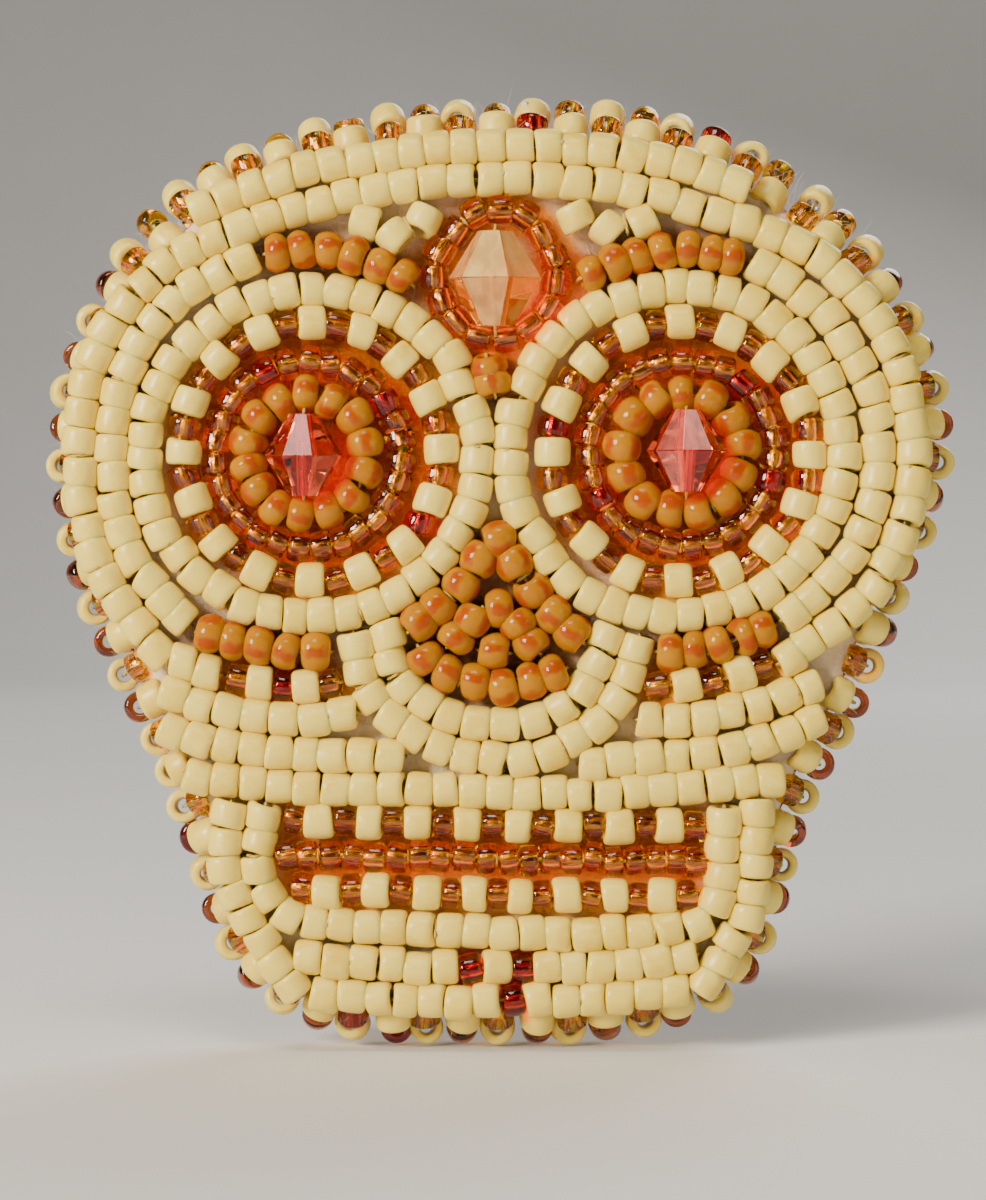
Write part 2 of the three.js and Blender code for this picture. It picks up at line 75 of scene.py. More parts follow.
# Half a bead's outline by kind, from the hole's mouth round to the belly: how far along from the middle,
# as a share of half the length, and how far out from the hole to the belly. None is the hole's wall.
ROUND_OUTLINE = (
    (0.36, None), (0.66, 0.04), (0.88, 0.14), (0.99, 0.28), (0.97, 0.44),
    (0.87, 0.61), (0.70, 0.77), (0.48, 0.895), (0.25, 0.972),
)
BARREL_OUTLINE = (
    (0.55, None), (0.87, 0.06), (0.98, 0.20), (1.01, 0.42), (1.0, 0.62),
    (0.94, 0.78), (0.83, 0.895), (0.64, 0.965), (0.33, 0.994),
)
CUT_OUTLINE = (
    (0.6, None), (0.92, 0.06), (1.0, 0.22), (1.0, 0.48),
    (0.95, 0.70), (0.84, 0.855), (0.66, 0.955), (0.34, 0.993),
)
OUTLINES = {"y": ROUND_OUTLINE, "c": BARREL_OUTLINE}
BEAD_SIDES = 22
LINING_SIDES = 12
SLOTS = {"c": "cream_beads", "a": "amber_beads", "r": "amber_beads", "y": "yellow_beads"}

# What each strand is strung with, from its left or upper end, and rings clockwise from the top.
STRINGS = {
    "crown_row": "c" * 21,
    "face_outline_row": "c" * 59,
    "temple_row_left": "c" * 17,
    "temple_row_right": "c" * 16,
    "brow_row_left": "y" * 6,
    "brow_row_right": "y" * 7,
    "bridge_row": "yy",
    "forehead_fill_left": "ccc",
    "forehead_fill_right": "ccc",
    "nose_outer_row": "y" * 9,
    "nose_inner_row": "y" * 5,
    "nose_centre_bead": "y",
    "nose_base_row": "y" * 6,
    "nose_frame_inner": "c" * 12,
    "nose_frame_outer": "c" * 15,
    "cheek_row_left": "y" * 5,
    "cheek_row_right": "y" * 5,
    "cheek_dotted_left": "acrca",
    "cheek_dotted_right": "acaca",
    "upper_jaw_row_left": "c" * 7,
    "upper_jaw_row_right": "c" * 7,
    "middle_jaw_row_left": "c" * 9,
    "middle_jaw_row_right": "c" * 9,
    "lip_row": "c" * 22,
    "teeth_row_upper": "ac" * 8 + "a",
    "mouth_row": "a" * 20,
    "teeth_row_lower": "ac" * 8 + "a",
    "jaw_frame_inner": "c" * 24,
    "jaw_frame_left": "c" * 8,
    "jaw_frame_right": "c" * 8,
    "chin_row_upper": "ccccccrcrcccccc",
    "chin_row_lower": "cccccccrcccccc",
    "socket_ring_left": "c" * 39,
    "socket_ring_right": "c" * 39,
    "lash_ring_left": "ca" * 5 + "cr" + "ca" * 10,
    "lash_ring_right": "ca" * 12 + "cr" + "ca" * 3,
    "iris_ring_left": "a" * 4 + "r" + "a" * 20 + "r" + "a",
    "iris_ring_right": "a" * 3 + "r" + "a" * 4 + "r" + "a" * 9 + "r" + "a" * 8,
    "pupil_ring_left": "y" * 14,
    "pupil_ring_right": "y" * 13,
    "forehead_ring": "a" * 15,
}
# How unevenly each kind sits on its strand: sideways in mm, and its lean in degrees.
UNEVEN = {"c": (0.06, 4), "a": (0.06, 6), "r": (0.06, 6), "y": (0.07, 8)}
# Loose single beads that were turned by hand: degrees added to each bead of the strand.
TURNED = {"forehead_fill_left": (5, -38, 40), "forehead_fill_right": (-35, -38, 8)}

# ---- edging: 78 stitches of a front, a rim and a back bead, clockwise from the crown ----
STITCHES = 78
FRONT_ODD = {0: "r", 42: "r", 51: "c"}
RIM_ODD = {5: "r", 41: "w", 49: "w", 51: "c"}
# How far out from the outermost row's beads the front bead of a stitch lies, in mm.
FRONT_STEP = 1.15
# How far behind the felt's face the front and rim beads lie, and the back bead behind the leather, in mm.
FRONT_DEPTH, RIM_DEPTH, BACK_DEPTH = 0.30, 1.62, 0.78

# ---- felt and thread: counts, and radii in mm ----
SURFACE_FIBRES, EDGE_FIBRES = 2600, 2200
SURFACE_FIBRE_RADIUS, EDGE_FIBRE_RADIUS = 0.012, 0.011
FIBRE_KNOTS = 7
# A felt fibre is left out nearer than this to a bead, or where the felt takes more amber light than this.
FIBRE_CLEARANCE, FIBRE_AMBER_LIMIT = 0.55, 0.35
STRINGING_RADIUS, COUCHING_RADIUS, EDGING_RADIUS = 0.09, 0.075, 0.09
CRYSTAL_THREAD_RADIUS, BAR_THREAD_RADIUS, CUT_END_RADIUS = 0.07, 0.095, 0.16

# ---- crystals: the hole's radius in mm, and the flat end as a share of half the CAD solid's width ----
CRYSTAL_HOLE = 0.3
CRYSTAL_FLAT = 0.40
CAD_CRYSTAL_SIDES = 8


# ---- reading places from the CAD nodes ----
def node_points(name):
    mesh = nodes[name].data
    flat = np.empty(len(mesh.vertices) * 3, np.float32)
    mesh.vertices.foreach_get("co", flat)
    return flat.reshape(-1, 3).astype(float) / MM


def front_corners(name):
    """A CAD strand's foremost corner, followed along its length: [x, z] places and whether it closes."""
    points = node_points(name)
    nearest = points[:, 1].min() + 0.02
    index, places, of_vertex = {}, [], {}
    for i, (x, y, z) in enumerate(points):
        if y < nearest:
            key = (round(x, 2), round(z, 2))
            if key not in index:
                index[key] = len(places)
                places.append((x, z))
            of_vertex[i] = index[key]
    links = [set() for _ in places]
    for edge in nodes[name].data.edges:
        a, b = (of_vertex.get(v) for v in edge.vertices)
        if a is not None and b is not None and a != b:
            links[a].add(b)
            links[b].add(a)
    ends = [i for i, near in enumerate(links) if len(near) == 1]
    if ends:
        run = [min(ends, key=lambda i: places[i][0])]
    else:
        top = max(range(len(places)), key=lambda i: places[i][1])
        run = [top, max(links[top], key=lambda i: places[i][0])]
    while len(run) < len(places):
        ahead = [i for i in links[run[-1]] if i not in run]
        if not ahead:
            break
        run.append(ahead[0])
    return np.array([places[i] for i in run]), not ends


def curve_through(padded, steps):
    """Pieces of a smooth curve from padded's second place up to its last but one."""
    t = np.linspace(0, 1, steps, endpoint=False)[:, None]
    parts = []
    for i in range(len(padded) - 3):
        a, b, c, d = padded[i : i + 4]
        bend = (2 * a - 5 * b + 4 * c - d) * t**2
        twist = (3 * b - a - 3 * c + d) * t**3
        parts.append(0.5 * (2 * b + (c - a) * t + bend + twist))
    return parts


def smooth_path(points, steps=8):
    """A smooth curve from the first to the last of some places."""
    points = np.asarray(points, float)
    padded = np.vstack([2 * points[0] - points[1], points, 2 * points[-1] - points[-2]])
    return np.vstack(curve_through(padded, steps) + [points[-1:]])


class Line:
    """A smooth line through [x, z] places, looked up by length along it."""

    def __init__(self, places, closed, steps=10):
        self.closed = closed
        if closed:
            padded = np.vstack([places[-1:], places, places[:2]])
            self.points = np.vstack(curve_through(padded, steps) + [places[:1]])
        else:
            self.points = smooth_path(places, steps)
        steps_long = np.linalg.norm(np.diff(self.points, axis=0), axis=1)
        self.reached = np.concatenate([[0], np.cumsum(steps_long)])
        self.length = self.reached[-1]

    def at(self, s):
        s = s % self.length if self.closed else s
        return np.array([np.interp(s, self.reached, self.points[:, k]) for k in (0, 1)])

    def along(self, s):
        step = 0.25
        ahead, behind = s + step, s - step
        if not self.closed:
            ahead, behind = min(ahead, self.length), max(behind, 0)
        way = self.at(ahead) - self.at(behind)
        return way / np.linalg.norm(way)


lines = {name: Line(*front_corners(name)) for name in STRINGS}
edge_line = Line(*front_corners("edging_front"))
felt_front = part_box("foundation_felt")[0].y / MM
leather_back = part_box("leather_backing")[1].y / MM

# ---- laying the beads ----
beads = []


def lay(node, kind, centre, axis, length, radius=None):
    size = KINDS[kind]
    beads.append(
        {
            "node": node,
            "kind": kind,
            "centre": np.array(centre, float),
            "axis": np.array(axis, float) / np.linalg.norm(axis),
            "length": length,
            "radius": (radius or size["radius"]) * rng.normal(1, 0.02),
        }
    )


def lay_strand(name, kinds):
    line = lines[name]
    wanted = np.array([KINDS[k]["length"] * rng.normal(1, 0.05) for k in kinds])
    ends = 0 if line.closed else (wanted[0] + wanted[-1]) / 2
    slots = wanted * (line.length / (wanted.sum() - ends) if len(kinds) > 1 else 1)
    for i, kind in enumerate(kinds):
        s = slots[:i].sum() + (slots[i] - slots[0]) / 2
        if len(kinds) == 1:
            s = line.length / 2
        x, z = line.at(s)
        tx, tz = line.along(s)
        sideways, lean = UNEVEN[kind]
        off = rng.normal(0, sideways)
        turn = math.radians(rng.normal(0, lean) + (TURNED[name][i] if name in TURNED else 0))
        tip = math.radians(rng.normal(0, lean))
        ax = tx * math.cos(turn) - tz * math.sin(turn)
        az = tx * math.sin(turn) + tz * math.cos(turn)
        length = slots[i] * KINDS[kind]["fill"]
        if name in TURNED:
            length = KINDS[kind]["length"]
        depth = felt_front - KINDS[kind]["radius"] - abs(rng.normal(0, 0.05))
        lay(
            name,
            kind,
            (x - tz * off, depth, z + tx * off),
            (ax * math.cos(tip), math.sin(tip), az * math.cos(tip)),
            length,
        )


for name, kinds in STRINGS.items():
    lay_strand(name, kinds)


def settle(rounds=30):
    """Beads of neighbouring strands push each other apart until they only touch."""
    centre = np.array([b["centre"] for b in beads])
    start = centre.copy()
    radius = np.array([b["radius"] for b in beads])
    strand = np.array([list(STRINGS).index(b["node"]) for b in beads])
    apart = strand[:, None] != strand[None, :]
    for _ in range(rounds):
        gap = centre[:, None] - centre[None, :]
        far = np.linalg.norm(gap, axis=2) + 1e-9
        touch = 0.93 * (radius[:, None] + radius[None, :])
        push = np.where(apart & (far < touch), (touch - far) / far * 0.25, 0)[..., None] * gap
        centre += push.sum(axis=1)
        centre[:, 1] = np.minimum(centre[:, 1], start[:, 1])
        centre += (start - centre) * 0.05
    for b, place in zip(beads, centre):
        b["centre"] = place


settle()
face_beads = list(beads)


def upness(z):
    """1 along the crown, 0 from the temples down."""
    t = min(max((z - 13) / 6, 0), 1)
    return t * t * (3 - 2 * t)


stitches = []


def lay_edging():
    rows = np.array([b["centre"][[0, 2]] for b in face_beads])
    for i in range(STITCHES):
        s = edge_line.length * i / STITCHES
        x, z = edge_line.at(s)
        tx, tz = edge_line.along(s)
        out = np.array([-tz, tx])
        top = upness(z)
        front = FRONT_ODD.get(i, "c" if i % 2 else "a")
        rim = RIM_ODD.get(i, ("a" if top > 0.35 else "b") if i % 2 else "c")
        back = "c" if i % 2 else "a"
        side = rng.normal(0, 0.07)

        lean = math.radians(rng.normal(22, 7))
        beside = np.abs((rows - [x, z]) @ [tx, tz]) < 0.9
        outermost = ((rows[beside] - [x, z]) @ out).max()
        outward = min(max(outermost + FRONT_STEP, -0.6), 0.42 * top - 0.30) + rng.normal(0, 0.04)
        place = np.array([x, z]) + out * outward + np.array([tx, tz]) * side
        axis = (out[0] * math.cos(lean), math.sin(lean), out[1] * math.cos(lean))
        front_at = np.array([place[0], felt_front + FRONT_DEPTH, place[1]])
        lay("edging_front", front, front_at, axis, KINDS[front]["length"] * rng.normal(0.97, 0.04))

        lean = math.radians(abs(rng.normal(8 + 42 * top, 8 + 8 * top)))
        reach = 0.42 + 0.29 * top + rng.normal(0, 0.05)
        place = np.array([x, z]) + out * reach + np.array([tx, tz]) * (side + rng.normal(0, 0.08))
        rim_axis = (
            out[0] * math.sin(lean) + rng.normal(0, 0.1),
            math.cos(lean),
            out[1] * math.sin(lean) + rng.normal(0, 0.1),
        )
        rim_at = np.array([place[0], felt_front + RIM_DEPTH, place[1]])
        lay("edging_rim", rim, rim_at, rim_axis, KINDS[rim]["length"] * 0.97)

        lean = math.radians(rng.normal(24, 6))
        place = np.array([x, z]) - out * 0.35 + np.array([tx, tz]) * side
        back_axis = (out[0] * math.cos(lean), -math.sin(lean), out[1] * math.cos(lean))
        back_at = np.array([place[0], leather_back + BACK_DEPTH, place[1]])
        lay("edging_back", back, back_at, back_axis, KINDS[back]["length"] * 0.97)
        stitches.append((front_at, rim_at, back_at, out))


lay_edging()


# ---- meshes ----
def mesh_object(name, verts, quads, materials, slots=None, closed=True, attributes=None):
    mesh = bpy.data.meshes.new(name)
    verts = np.asarray(verts, np.float32) * MM
    quads = np.asarray(quads, np.int32)
    if closed:
        a, b, c, d = (verts[quads[:, k]].astype(float) for k in range(4))
        volume = np.einsum("ij,ij->i", a, np.cross(b, c) + np.cross(c, d)).sum()
        if volume < 0:
            quads = quads[:, ::-1].copy()
    mesh.vertices.add(len(verts))
    mesh.vertices.foreach_set("co", verts.ravel())
    mesh.loops.add(quads.size)
    mesh.loops.foreach_set("vertex_index", quads.ravel())
    mesh.polygons.add(len(quads))
    mesh.polygons.foreach_set("loop_start", np.arange(0, quads.size, quads.shape[1], dtype=np.int32))
    for material in materials:
        mesh.materials.append(material)
    if slots is not None:
        mesh.polygons.foreach_set("material_index", np.asarray(slots, np.int32))
    mesh.update(calc_edges=True)
    mesh.validate()
    for key, values in (attributes or {}).items():
        values = np.asarray(values, np.float32)
        kind = "FLOAT_VECTOR" if values.ndim == 2 else "FLOAT"
        made = mesh.attributes.new(key, kind, "POINT")
        made.data.foreach_set("vector" if values.ndim == 2 else "value", values.ravel())
    mesh.shade_smooth()
    made = bpy.data.objects.new(name, mesh)
    bpy.context.scene.collection.objects.link(made)
    return made


def finish_piece(piece, body, slot, *replaced):
    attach(piece, body)
    if replaced:
        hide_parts(*replaced)
    return piece


def bead_profile(kind, length, radius):
    """One bead's cross-section beside its hole, as (along, out) pairs in mm."""
    h, hole = length / 2, KINDS[kind]["hole"]
    outline = []
    for along, share in OUTLINES.get(kind, CUT_OUTLINE):
        out = hole if share is None else hole + (radius - hole) * share
        outline.append((along * h, out))
    middle_out, middle_hole = (0.0, radius), (0.0, hole)
    left = [(-a, r) for a, r in outline]
    return [middle_hole] + left + [middle_out] + outline[::-1]


def frame_of(axis):
    """Two directions across a bead's axis."""
    helper = np.array([0.0, -1.0, 0.0])
    if abs(axis @ helper) > 0.9:
        helper = np.array([0.0, 0.0, 1.0])
    u = np.cross(axis, helper)
    u /= np.linalg.norm(u)
    return u, np.cross(axis, u)


def bead_shell(bead, profile, sides, slants, oval):
    """Vertices of one bead in mm and their places in the bead's own frame (along, across, across)."""
    profile = np.array(profile)
    turn = 2 * np.pi * np.arange(sides) / sides
    along = np.repeat(profile[:, 0], sides)
    out = np.repeat(profile[:, 1], sides)
    turn = np.tile(turn, len(profile))
    across_u = out * np.cos(turn) * (1 + oval)
    across_v = out * np.sin(turn) * (1 - oval)
    half = bead["length"] / 2
    lean = (across_u * slants[0] + across_v * slants[1]) * (along / half)
    lean += across_u * slants[2] + across_v * slants[3]
    along = along + lean
    u, v = frame_of(bead["axis"])
    roll = bead["roll"]
    cu, cv = math.cos(roll), math.sin(roll)
    u, v = u * cu + v * cv, v * cu - u * cv
    verts = (
        bead["centre"]
        + along[:, None] * bead["axis"]
        + across_u[:, None] * u
        + across_v[:, None] * v
    )
    return verts, np.column_stack([along, across_u, across_v])


def ring_quads(rows, sides):
    """Quads of a closed ring of rows, each a closed ring of sides."""
    i = np.arange(rows)[:, None]
    j = np.arange(sides)[None, :]
    after_i = (i + 1) % rows
    after_j = (j + 1) % sides
    quads = np.stack(
        [i * sides + j, after_i * sides + j, after_i * sides + after_j, i * sides + after_j], axis=-1
    )
    return quads.reshape(-1, 4)


def lining_profile(bead):
    """The metal film in a lined bead's hole: a thin tube just inside the glass."""
    h = bead["length"] / 2 * 0.9
    outer = KINDS[bead["kind"]]["hole"] - 0.012
    inner = outer - 0.05
    return [(-h, inner), (-h, outer), (0, outer), (h, outer), (h, inner), (0, inner)]


def bead_piece(name, chosen, materials):
    verts, quads, slots, local, seeds = [], [], [], [], []
    count = 0
    for bead in chosen:
        seed = rng.random()
        bead["roll"] = rng.random() * 2 * math.pi
        slants = rng.normal(0, 0.045, 4)
        oval = rng.normal(0, 0.015)
        shells = [(bead_profile(bead["kind"], bead["length"], bead["radius"]), BEAD_SIDES, 0)]
        if len(materials) > 1:
            shells.append((lining_profile(bead), LINING_SIDES, 1))
        for profile, sides, slot in shells:
            v, l = bead_shell(bead, profile, sides, slants, oval)
            q = ring_quads(len(profile), sides) + count
            verts.append(v)
            local.append(l)
            quads.append(q)
            slots.append(np.full(len(q), slot))
            seeds.append(np.full(len(v), seed))
            count += len(v)
    return mesh_object(
        name,
        np.vstack(verts),
        np.vstack(quads),
        materials,
        np.concatenate(slots),
        attributes={"bead_place": np.vstack(local), "bead_seed": np.concatenate(seeds)},
    )


def tube_piece(name, paths, radius, material, sides=8, taper=False):
    """One mesh of several round threads. Each path is an array of places in mm."""
    verts, quads, strand = [], [], []
    count = 0
    for k, path in enumerate(paths):
        path = np.asarray(path, float)
        n = len(path)
        thick = radius[k] if hasattr(radius, "__len__") else radius
        way = np.gradient(path, axis=0)
        way /= np.linalg.norm(way, axis=1)[:, None] + 1e-12
        u = np.cross(way[0], [0.3, 0.5, 0.81])
        u /= np.linalg.norm(u)
        reached = np.concatenate([[0], np.cumsum(np.linalg.norm(np.diff(path, axis=0), axis=1))])
        turn = 2 * np.pi * np.arange(sides) / sides
        for i in range(n):
            u = u - way[i] * (u @ way[i])
            u /= np.linalg.norm(u)
            v = np.cross(way[i], u)
            r = thick * (1 - 0.75 * i / n) if taper else thick
            ring = path[i] + r * (np.cos(turn)[:, None] * u + np.sin(turn)[:, None] * v)
            verts.append(ring)
            strand.append(np.column_stack([np.full(sides, reached[i]), turn, np.full(sides, k * 0.37)]))
        i = np.arange(n - 1)[:, None]
        j = np.arange(sides)[None, :]
        a = count + i * sides
        nxt = (j + 1) % sides
        quads.append(np.stack([a + j, a + nxt, a + sides + nxt, a + sides + j], axis=-1).reshape(-1, 4))
        for end, flip in ((0, True), (n - 1, False)):
            base = count + end * sides
            m = np.arange(sides // 2 - 1)
            fan = base + np.column_stack([m, m + 1, sides - 2 - m, sides - 1 - m])
            quads.append(fan[:, ::-1] if flip else fan)
        count += n * sides
    return mesh_object(
        name, np.vstack(verts), np.vstack(quads), [material], attributes={"strand_place": np.vstack(strand)}
    )


# ---- materials ----
class Shader:
    """A material being built: each method adds one node and returns its output."""

    def __init__(self, name):
        self.material = bpy.data.materials.new(name)
        self.material.use_nodes = True
        self.tree = self.material.node_tree
        self.tree.nodes.clear()

    def length(self, a, b):
        squares = self.math("ADD", self.math("MULTIPLY", a, a), self.math("MULTIPLY", b, b))
        return self.math("SQRT", squares)

    def put(self, socket, value):
        if isinstance(value, bpy.types.NodeSocket):
            self.tree.links.new(value, socket)
        elif isinstance(value, tuple) and len(value) == 3 and socket.type == "RGBA":
            socket.default_value = (*value, 1.0)
        else:
            socket.default_value = value

    def add(self, kind, inputs=None, output=0, **settings):
        node = self.tree.nodes.new("ShaderNode" + kind)
        for key, value in settings.items():
            setattr(node, key, value)
        for key, value in (inputs or {}).items():
            self.put(node.inputs[key], value)
        return node.outputs[output]

    def math(self, operation, a, b=0.0):
        return self.add("Math", {0: a, 1: b}, operation=operation)

    def mix(self, share, a, b):
        return self.add("Mix", {0: share, 6: a, 7: b}, 2, data_type="RGBA")

    def band(self, value, low, high, to_low=0.0, to_high=1.0):
        inputs = {0: value, 1: low, 2: high, 3: to_low, 4: to_high}
        return self.add("MapRange", inputs, interpolation_type="SMOOTHSTEP")

    def value_of(self, attribute, output=2):
        return self.add("Attribute", output=output, attribute_name=attribute)

    def place(self, scale=(1, 1, 1)):
        spot = self.add("TexCoord", output=3)
        return self.add("Mapping", {0: spot, 3: scale})

    def noise(self, scale, detail=3.0, at=None, rough=0.55):
        inputs = {"Scale": scale, "Detail": detail, "Roughness": rough}
        inputs["Vector"] = at if at is not None else self.place()
        return self.add("TexNoise", inputs)

    def bump(self, height, strength, distance, under=None):
        inputs = {"Height": height, "Strength": strength, "Distance": distance}
        if under is not None:
            inputs["Normal"] = under
        return self.add("Bump", inputs)

    def surface(self, **inputs):
        named = {key.replace("_", " "): value for key, value in inputs.items()}
        return self.add("BsdfPrincipled", named)

    def solid(self, **inputs):
        return self.done(self.surface(**inputs))

    def done(self, shader):
        output = self.tree.nodes.new("ShaderNodeOutputMaterial")
        self.put(output.inputs[0], shader)
        return self.material


def clear_to_light(s, surface, tint):
    """Glass whose coloured light reaches what lies behind it."""
    through = s.add("BsdfTransparent", {"Color": tint})
    shadow = s.add("LightPath", output=1)
    return s.add("MixShader", {0: shadow, 1: surface, 2: through})


def cream_material():
    s = Shader("ivory_glass")
    seed = s.value_of("bead_seed")
    local = s.value_of("bead_place", 1)
    colour = s.mix(seed, (0.84, 0.60, 0.065), (0.93, 0.70, 0.12))
    cloud = s.noise(900.0, 2.0)
    colour = s.mix(s.band(cloud, 0.35, 0.7), colour, (0.93, 0.72, 0.14))
    speck = s.noise(6500.0, 2.0)
    colour = s.mix(s.band(speck, 0.70, 0.78, 0.0, 0.45), colour, (0.50, 0.38, 0.18))
    parts = s.add("SeparateXYZ", {0: local}).node.outputs
    out = s.length(parts[1], parts[2])
    # Painted shade: the bead darkens towards its hole and inside it, where shade falls.
    colour = s.mix(s.band(out, 0.36, 0.52, 0.75, 0.0), colour, (0.30, 0.20, 0.09))
    fine = s.noise(14000.0, 4.0)
    wave = s.noise(1500.0, 2.0)
    normal = s.bump(fine, 0.25, 0.00002, s.bump(wave, 0.5, 0.00006))
    rough = s.band(fine, 0.3, 0.7, 0.24, 0.40)
    return s.solid(
        Base_Color=colour,
        Roughness=rough,
        Normal=normal,
        Subsurface_Weight=0.5,
        Subsurface_Radius=(1.0, 0.75, 0.3),
        Subsurface_Scale=0.00055,
        Specular_IOR_Level=0.45,
    )


def yellow_material():
    s = Shader("striped_yellow_glass")
    seed = s.value_of("bead_seed")
    local = s.value_of("bead_place", 1)
    wobble = s.noise(1200.0, 1.0)
    parts = s.add("SeparateXYZ", {0: local}).node.outputs
    turn = s.math("ARCTAN2", parts[2], parts[1])
    turn = s.math("ADD", turn, s.math("MULTIPLY", wobble, 0.7))
    wave = s.math("COSINE", s.math("ADD", s.math("MULTIPLY", turn, 4.0), s.math("MULTIPLY", seed, 6.28)))
    colour = s.mix(seed, (0.42, 0.155, 0.0), (0.48, 0.195, 0.0))
    ends = s.band(s.math("ABSOLUTE", parts[0]), 0.30, 0.66, 1.0, 0.25)
    stripe = s.math("MULTIPLY", s.band(wave, -0.1, 0.95, 0.0, 0.9), ends)
    colour = s.mix(stripe, colour, (0.38, 0.048, 0.0))
    pits = s.noise(5000.0, 3.0)
    normal = s.bump(pits, 0.15, 0.00003)
    return s.solid(
        Base_Color=colour,
        Roughness=s.band(pits, 0.3, 0.7, 0.07, 0.14),
        Normal=normal,
        Subsurface_Weight=0.25,
        Subsurface_Radius=(1.0, 0.35, 0.02),
        Subsurface_Scale=0.0004,
        Specular_IOR_Level=0.22,
    )


def glass_material(name, pale, deep, tint):
    s = Shader(name)
    seed = s.value_of("bead_seed")
    colour = s.mix(seed, pale, deep)
    ripple = s.noise(1800.0, 2.0)
    normal = s.bump(ripple, 0.35, 0.00006)
    surface = s.surface(
        Base_Color=colour,
        Roughness=0.03,
        Normal=normal,
        Transmission_Weight=1.0,
        IOR=1.5,
        Specular_IOR_Level=0.10,
    )
    return s.done(clear_to_light(s, surface, tint))


def lining_material():
    s = Shader("gilt_lining")
    local = s.value_of("bead_place", 1)
    stretched = s.add("Mapping", {0: local, 3: (0.35, 2.2, 2.2)})
    crinkle = s.noise(2.6, 3.0, at=stretched)
    normal = s.bump(crinkle, 0.8, 0.00011)
    colour = s.mix(s.band(crinkle, 0.36, 0.56), (0.30, 0.27, 0.0), (0.60, 0.98, 0.0))
    rough = s.band(crinkle, 0.3, 0.7, 0.20, 0.32)
    return s.solid(Base_Color=colour, Metallic=1.0, Roughness=rough, Normal=normal)


def crystal_material(name, colour, tint, film=None, film_and_reflection_share=0.0):
    """Cut glass; a facet with a film shows that share of it as a pale opaque coat: a painted reflection of the
    lamps, which on the peach crystal also stands for its pearly coating.
    """
    s = Shader(name)
    haze = s.noise(700.0, 2.0)
    colour = s.mix(s.band(haze, 0.3, 0.7), colour, tuple(min(1.0, c * 1.15) for c in colour))
    scratch = s.noise(3000.0, 4.0, at=s.place((1, 1, 6)))
    normal = s.bump(scratch, 0.04, 0.00002)
    surface = s.surface(
        Base_Color=colour,
        Roughness=0.012,
        Normal=normal,
        Transmission_Weight=1.0,
        IOR=1.54,
        Specular_IOR_Level=0.3,
    )
    # Painted reflection: the film puts pale streaks of the lamps' reflection on the chosen facets; on the
    # peach crystal it also stands for its pearly coating.
    if film_and_reflection_share > 0:
        streak = s.noise(1500.0, 3.0, at=s.place((1, 1, 0.12)))
        film_and_reflection_tone = s.mix(s.band(streak, 0.35, 0.65), film, tuple(min(1.0, c * 1.25) for c in film))
        film_and_reflection_coat = s.surface(Base_Color=film_and_reflection_tone, Roughness=0.22, Normal=normal, Specular_IOR_Level=0.4)
        share = s.band(streak, 0.3, 0.7, film_and_reflection_share * 0.8, min(1.0, film_and_reflection_share * 1.15))
        surface = s.add("MixShader", {0: share, 1: surface, 2: film_and_reflection_coat})
    return s.done(clear_to_light(s, surface, tint))


def felt_material():
    s = Shader("wool_felt")
    tint = s.value_of("amber_near")
    cloud = s.noise(600.0, 4.0)
    fibre = s.noise(5200.0, 5.0, at=s.place((1, 1, 0.35)), rough=0.7)
    crossed = s.noise(4800.0, 5.0, at=s.place((0.35, 1, 1)), rough=0.7)
    fibres = s.math("MAXIMUM", fibre, crossed)
    colour = s.mix(s.band(cloud, 0.3, 0.7), (0.82, 0.62, 0.38), (0.90, 0.71, 0.46))
    height = s.add("SeparateXYZ", {0: s.add("TexCoord", output=3)}, 2)
    colour = s.mix(s.band(height, -0.013, -0.005, 1.0, 0.0), colour, (0.92, 0.82, 0.56))
    colour = s.mix(s.band(fibres, 0.42, 0.72, 0.0, 0.7), colour, (0.95, 0.83, 0.60))
    # Painted light: the felt turns orange where light through the coloured beads and crystals falls on it.
    colour = s.mix(tint, colour, s.mix(s.band(fibres, 0.45, 0.7), (0.30, 0.072, 0.0), (0.46, 0.145, 0.0)))
    normal = s.bump(fibres, 0.9, 0.00012)
    return s.solid(
        Base_Color=colour, Roughness=0.95, Normal=normal, Specular_IOR_Level=0.1, Sheen_Weight=0.03
    )


def fibre_material():
    s = Shader("wool_fibre")
    streak = s.noise(900.0, 2.0)
    colour = s.mix(s.band(streak, 0.3, 0.7), (0.78, 0.60, 0.48), (0.88, 0.78, 0.66))
    return s.solid(Base_Color=colour, Roughness=0.75, Sheen_Weight=0.5)


def leather_material():
    s = Shader("brown_leather")
    spot = s.place()
    drift = s.noise(900.0, 3.0, at=spot).node.outputs[1]
    warp = s.add("Mix", {0: 0.0006, 4: spot, 5: drift}, 1, data_type="VECTOR")
    cells = s.add("TexVoronoi", {"Vector": warp, "Scale": 1900.0}, feature="DISTANCE_TO_EDGE")
    creases = s.band(cells, 0.0, 0.22)
    cloud = s.noise(220.0, 5.0)
    pore = s.noise(7000.0, 3.0)
    colour = s.mix(s.band(cloud, 0.3, 0.7), (0.115, 0.055, 0.028), (0.175, 0.088, 0.045))
    colour = s.mix(creases, (0.055, 0.026, 0.014), colour)
    normal = s.bump(pore, 0.25, 0.00003, s.bump(creases, 0.55, 0.00010))
    rough = s.band(pore, 0.3, 0.7, 0.48, 0.66)
    return s.solid(Base_Color=colour, Roughness=rough, Normal=normal, Specular_IOR_Level=0.4)


def card_material():
    s = Shader("stiffener_card")
    pulp = s.noise(3800.0, 4.0)
    colour = s.mix(s.band(pulp, 0.3, 0.7), (0.74, 0.72, 0.66), (0.84, 0.83, 0.78))
    return s.solid(Base_Color=colour, Roughness=0.8, Normal=s.bump(pulp, 0.3, 0.00003))


